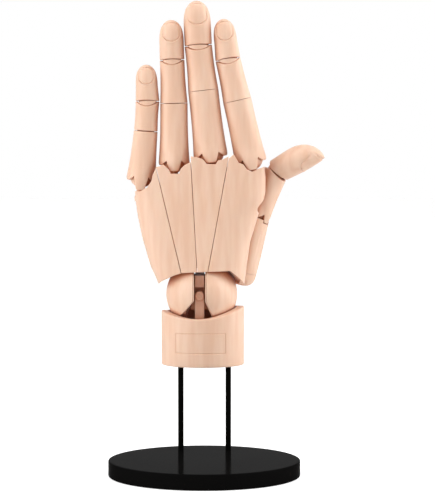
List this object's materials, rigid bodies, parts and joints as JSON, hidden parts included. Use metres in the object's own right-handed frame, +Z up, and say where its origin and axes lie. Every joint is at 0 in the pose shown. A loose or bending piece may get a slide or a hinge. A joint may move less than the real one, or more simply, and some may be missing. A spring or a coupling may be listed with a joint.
{
  "type": "artist hand model",
  "caption": "Life-size jointed left hand for drawing practice, fingers up on a ball wrist and cuff, held over a round base by two thin rods.",
  "frame": {"origin": "centre of the base's underside, where the stand rests on the table", "axes": "+Z up along the hand, -Y toward the viewer of the back of the hand, +X toward the thumb"},
  "size_m": [0.1384, 0.1239, 0.3008],
  "materials": {
    "hand_beige": "satin moulded beige",
    "base_black": "polished black",
    "rod_black": "satin black paint",
    "pin_black": "satin black, hidden inside the hinges"
  },
  "bodies": {
    "stand": {"base_disc": "base_black", "rod_left": "rod_black", "rod_right": "rod_black"},
    "cuff": {"wrist_cuff": "hand_beige", "wrist_post": "hand_beige", "wrist_pin": "hand_beige"},
    "wrist_block": {"wrist_core": "hand_beige"},
    "palm": {"wrist_ball_left": "hand_beige", "wrist_ball_right": "hand_beige", "metacarpal_middle": "hand_beige", "metacarpal_index": "hand_beige", "thumb_saddle": "hand_beige"},
    "ring_metacarpal": {"metacarpal_ring": "hand_beige"},
    "pinky_metacarpal": {"metacarpal_pinky": "hand_beige"},
    "pinky_knuckle": {"pinky_knuckle": "hand_beige", "pinky_knuckle_pin": "pin_black"},
    "pinky_proximal": {"pinky_proximal": "hand_beige", "pinky_middle_link": "hand_beige"},
    "pinky_middle": {"pinky_middle": "hand_beige", "pinky_middle_pin": "pin_black", "pinky_end_link": "hand_beige"},
    "pinky_end": {"pinky_distal": "hand_beige", "pinky_end_pin": "pin_black"},
    "ring_knuckle": {"ring_knuckle": "hand_beige", "ring_knuckle_pin": "pin_black"},
    "ring_proximal": {"ring_proximal": "hand_beige", "ring_middle_link": "hand_beige"},
    "ring_middle": {"ring_middle": "hand_beige", "ring_middle_pin": "pin_black", "ring_end_link": "hand_beige"},
    "ring_end": {"ring_distal": "hand_beige", "ring_end_pin": "pin_black"},
    "middle_knuckle": {"middle_knuckle": "hand_beige", "middle_knuckle_pin": "pin_black"},
    "middle_proximal": {"middle_proximal": "hand_beige", "middle_middle_link": "hand_beige"},
    "middle_middle": {"middle_middle": "hand_beige", "middle_middle_pin": "pin_black", "middle_end_link": "hand_beige"},
    "middle_end": {"middle_distal": "hand_beige", "middle_end_pin": "pin_black"},
    "index_knuckle": {"index_knuckle": "hand_beige", "index_knuckle_pin": "pin_black"},
    "index_proximal": {"index_proximal": "hand_beige", "index_middle_link": "hand_beige"},
    "index_middle": {"index_middle": "hand_beige", "index_middle_pin": "pin_black", "index_end_link": "hand_beige"},
    "index_end": {"index_distal": "hand_beige", "index_end_pin": "pin_black"},
    "thumb_ball": {"thumb_ball": "hand_beige"},
    "thumb_base": {"thumb_metacarpal": "hand_beige", "thumb_knuckle": "hand_beige", "thumb_knuckle_pin": "pin_black"},
    "thumb_proximal": {"thumb_proximal": "hand_beige", "thumb_end_link": "hand_beige"},
    "thumb_end": {"thumb_distal": "hand_beige", "thumb_end_pin": "pin_black"}
  },
  "joints": [
    {"name": "cuff_lift", "type": "slide", "parent": "stand", "child": "cuff", "axis": [0, 0, 1], "range_m": [0, 0.03]},
    {"name": "wrist_side", "type": "hinge", "parent": "cuff", "child": "wrist_block", "pos_m": [-0.0031, 0.04, 0.112], "axis": [0, 1, 0], "range_deg": [-15, 12]},
    {"name": "wrist_bend", "type": "hinge", "parent": "wrist_block", "child": "palm", "pos_m": [-0.0018, 0.04, 0.112], "axis": [-1, 0, 0], "range_deg": [-30, 30]},
    {"name": "ring_cup", "type": "hinge", "parent": "palm", "child": "ring_metacarpal", "pos_m": [-0.0018, 0.04, 0.112], "axis": [-0.998, 0, -0.0626], "range_deg": [0, 4]},
    {"name": "pinky_cup", "type": "hinge", "parent": "ring_metacarpal", "child": "pinky_metacarpal", "pos_m": [-0.0018, 0.04, 0.112], "axis": [-0.9705, 0, -0.2412], "range_deg": [0, 4]},
    {"name": "pinky_swing", "type": "hinge", "parent": "pinky_metacarpal", "child": "pinky_knuckle", "pos_m": [-0.0419, 0.04, 0.17393], "axis": [0, 1, 0], "range_deg": [-10, 0]},
    {"name": "pinky_knuckle_bend", "type": "hinge", "parent": "pinky_knuckle", "child": "pinky_proximal", "pos_m": [-0.0406, 0.04, 0.1877], "axis": [-0.9956, 0, 0.0941], "range_deg": [0, 80]},
    {"name": "pinky_middle_bend", "type": "hinge", "parent": "pinky_proximal", "child": "pinky_middle", "pos_m": [-0.0378, 0.04, 0.21737], "axis": [-0.9982, 0, 0.0593], "range_deg": [0, 90]},
    {"name": "pinky_end_bend", "type": "hinge", "parent": "pinky_middle", "child": "pinky_end", "pos_m": [-0.03666, 0.04, 0.23643], "axis": [-0.9991, 0, -0.0419], "range_deg": [0, 50]},
    {"name": "ring_swing", "type": "hinge", "parent": "ring_metacarpal", "child": "ring_knuckle", "pos_m": [-0.01945, 0.04, 0.18359], "axis": [0, 1, 0], "range_deg": [-0.4, 0.1]},
    {"name": "ring_knuckle_bend", "type": "hinge", "parent": "ring_knuckle", "child": "ring_proximal", "pos_m": [-0.0195, 0.04, 0.1978], "axis": [-1, 0, -0.0035], "range_deg": [0, 80]},
    {"name": "ring_middle_bend", "type": "hinge", "parent": "ring_proximal", "child": "ring_middle", "pos_m": [-0.01963, 0.04, 0.2352], "axis": [-0.9991, 0, -0.0419], "range_deg": [0, 90]},
    {"name": "ring_end_bend", "type": "hinge", "parent": "ring_middle", "child": "ring_end", "pos_m": [-0.02079, 0.04, 0.26288], "axis": [-0.9996, 0, -0.0279], "range_deg": [0, 50]},
    {"name": "middle_swing", "type": "hinge", "parent": "palm", "child": "middle_knuckle", "pos_m": [0.00549, 0.04, 0.18794], "axis": [0, 1, 0], "range_deg": [-0.1, 0.6]},
    {"name": "middle_knuckle_bend", "type": "hinge", "parent": "middle_knuckle", "child": "middle_proximal", "pos_m": [0.0038, 0.04, 0.203], "axis": [-0.9938, 0, -0.1115], "range_deg": [0, 80]},
    {"name": "middle_middle_bend", "type": "hinge", "parent": "middle_proximal", "child": "middle_middle", "pos_m": [-0.00075, 0.04, 0.24355], "axis": [-0.9938, 0, -0.1115], "range_deg": [0, 90]},
    {"name": "middle_end_bend", "type": "hinge", "parent": "middle_middle", "child": "middle_end", "pos_m": [-0.00397, 0.04, 0.27227], "axis": [-0.999, 0, -0.0454], "range_deg": [0, 50]},
    {"name": "index_swing", "type": "hinge", "parent": "palm", "child": "index_knuckle", "pos_m": [0.03267, 0.04, 0.18501], "axis": [0, 1, 0], "range_deg": [0, 10]},
    {"name": "index_knuckle_bend", "type": "hinge", "parent": "index_knuckle", "child": "index_proximal", "pos_m": [0.0295, 0.04, 0.1992], "axis": [-0.9759, 0, -0.2181], "range_deg": [0, 80]},
    {"name": "index_middle_bend", "type": "hinge", "parent": "index_proximal", "child": "index_middle", "pos_m": [0.02104, 0.04, 0.23707], "axis": [-0.9755, 0, -0.2198], "range_deg": [0, 90]},
    {"name": "index_end_bend", "type": "hinge", "parent": "index_middle", "child": "index_end", "pos_m": [0.0151, 0.04, 0.26341], "axis": [-0.9921, 0, -0.1253], "range_deg": [0, 50]},
    {"name": "thumb_lift", "type": "hinge", "parent": "palm", "child": "thumb_ball", "pos_m": [0.0242, 0.0495, 0.126], "axis": [0.9627, 0, -0.2706], "range_deg": [-30, 0]},
    {"name": "thumb_turn", "type": "hinge", "parent": "thumb_ball", "child": "thumb_base", "pos_m": [0.0242, 0.0495, 0.126], "axis": [0.2706, 0, 0.9627], "range_deg": [-20, 0]},
    {"name": "thumb_knuckle_bend", "type": "hinge", "parent": "thumb_base", "child": "thumb_proximal", "pos_m": [0.03489, 0.0495, 0.16403], "axis": [0.4578, 0.866, -0.201], "range_deg": [-30, 0]},
    {"name": "thumb_end_bend", "type": "hinge", "parent": "thumb_proximal", "child": "thumb_end", "pos_m": [0.04663, 0.0495, 0.19076], "axis": [0.4578, 0.866, -0.201], "range_deg": [-40, 0]}
  ]
}
